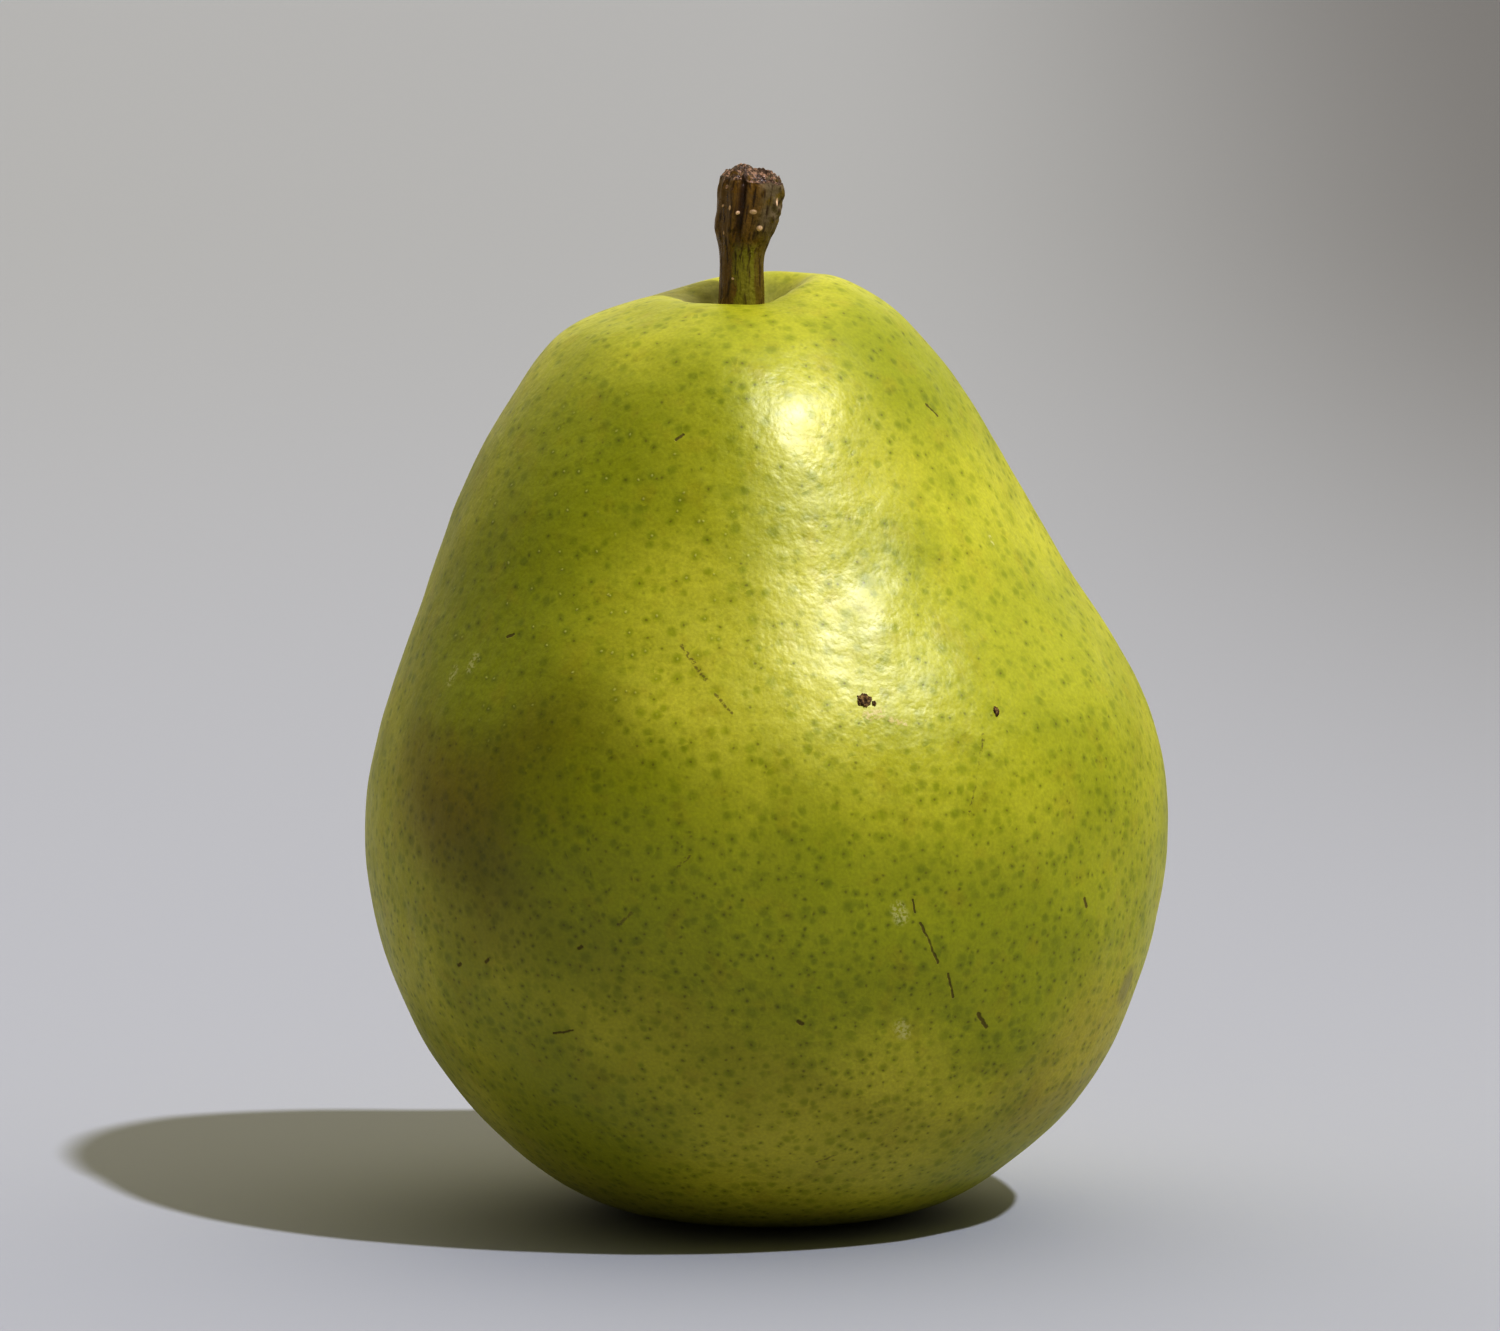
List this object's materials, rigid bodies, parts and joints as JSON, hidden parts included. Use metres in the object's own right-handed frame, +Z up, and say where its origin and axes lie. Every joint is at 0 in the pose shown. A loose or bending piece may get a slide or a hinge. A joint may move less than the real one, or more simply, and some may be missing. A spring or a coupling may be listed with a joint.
{
  "type": "pear",
  "caption": "Whole ripe green pear with a squat neck and a short woody stalk in a shallow cavity, standing on a small flat spot round its calyx basin.",
  "frame": {"origin": "on the surface that the pear stands on, below the middle of its bounding box", "axes": "+Z up along the fruit from calyx to stalk, +X to the right seen from the front, +Y to the back"},
  "size_m": [0.0802, 0.079, 0.105],
  "materials": {
    "skin": "waxy satin skin, yellow-green with greener patches, fine pale-haloed brown lenticels and a few corky scars",
    "bark": "ridged dark brown bark, green in its lower half, with tan lenticels and a rough dark broken end",
    "dried_calyx": "dry, papery, matt dark brown"
  },
  "bodies": {
    "root": {"fruit": "skin", "stalk": "bark", "stamens": "dried_calyx", "sepal_1": "dried_calyx", "sepal_2": "dried_calyx", "sepal_3": "dried_calyx", "sepal_4": "dried_calyx", "sepal_5": "dried_calyx"}
  },
  "joints": []
}
